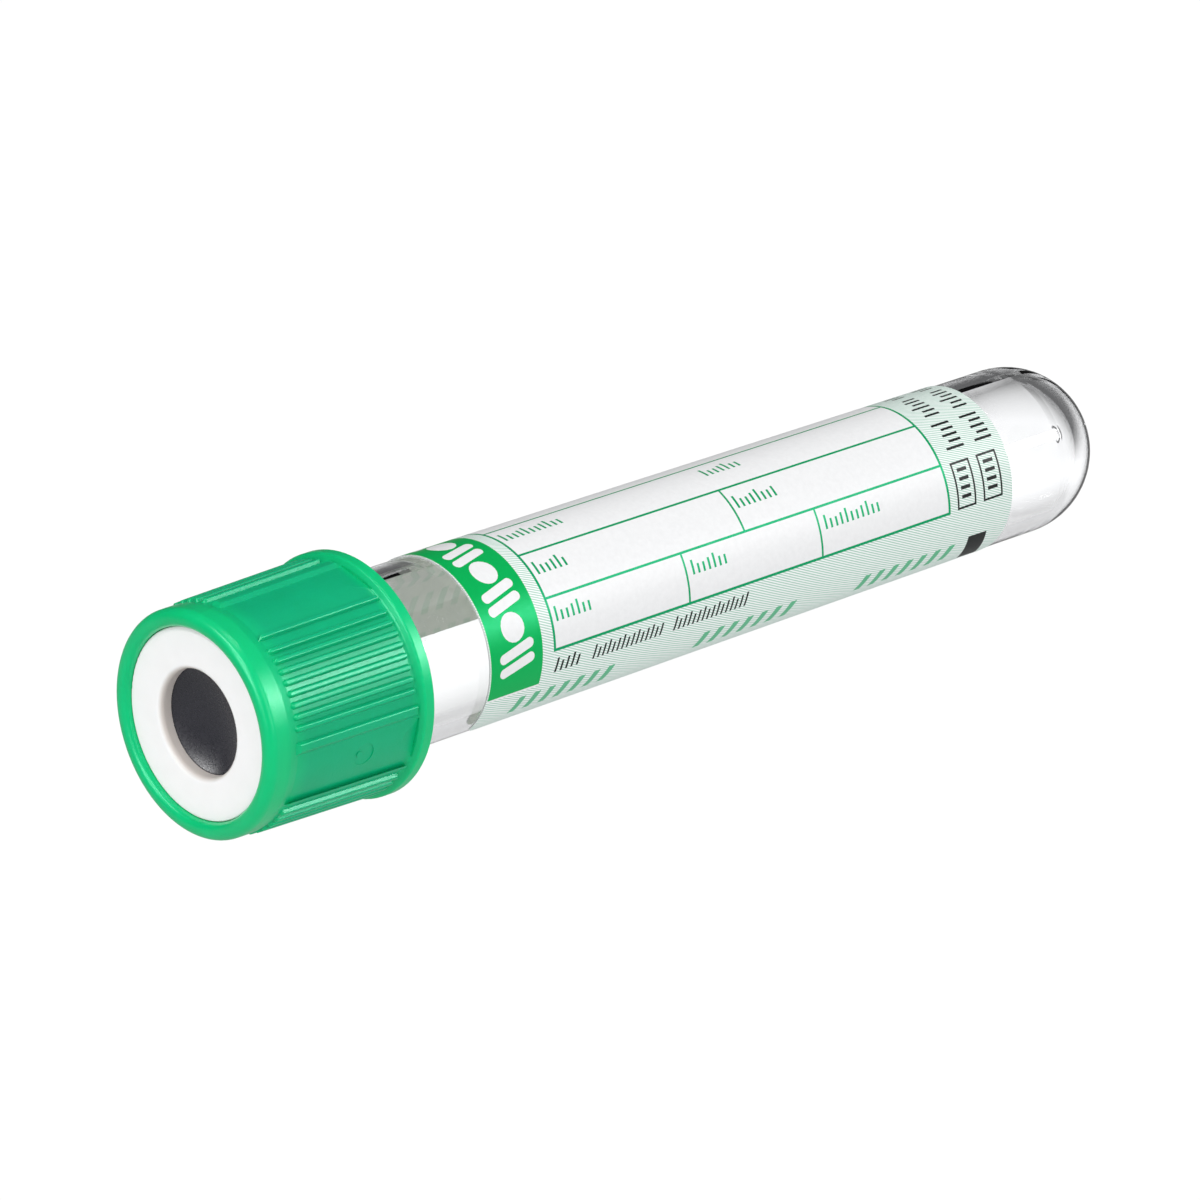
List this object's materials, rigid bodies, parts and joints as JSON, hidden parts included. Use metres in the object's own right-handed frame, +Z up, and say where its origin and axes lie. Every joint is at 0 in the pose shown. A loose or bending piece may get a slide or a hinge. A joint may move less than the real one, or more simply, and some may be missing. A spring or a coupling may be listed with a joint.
{
  "type": "blood collection tube",
  "caption": "Clear plastic test tube with a round bottom, a ribbed green screw cap with a white ring and a rubber stopper, and a paper label with a writing box.",
  "frame": {"origin": "on the surface that the tube lies on, under the middle of its length", "axes": "+Z up; the tube's axis runs in the XZ plane from the cap at -X to the round bottom at +X and drops 2.36 degrees towards +X, because the tube rests on the cap's bead and on its round bottom"},
  "size_m": [0.085, 0.0176, 0.0176],
  "materials": {
    "clear_pet": "clear moulded plastic (PET), polished",
    "grey_rubber": "dark grey moulded rubber, matt",
    "green_plastic": "green moulded plastic, satin gloss",
    "white_plastic": "white moulded plastic, matt",
    "label_paper": "printed label paper, semi-gloss"
  },
  "bodies": {
    "tube": {"tube": "clear_pet", "label": "label_paper"},
    "stopper": {"stopper": "grey_rubber"},
    "cap": {"cap": "green_plastic", "ring": "white_plastic"}
  },
  "joints": [
    {"name": "closure_lift", "type": "slide", "parent": "tube", "child": "stopper", "axis": [-0.9992, 0, 0.0411], "range_m": [0, 0.012]},
    {"name": "cap_twist", "type": "hinge", "parent": "stopper", "child": "cap", "pos_m": [-0.03569, 0, 0.00911], "axis": [-0.9992, 0, 0.0411], "range_deg": [0, 360]}
  ],
  "couplings": [
    {"joint": "cap_twist", "follows": "closure_lift", "rad_per_m": 523.6}
  ]
}
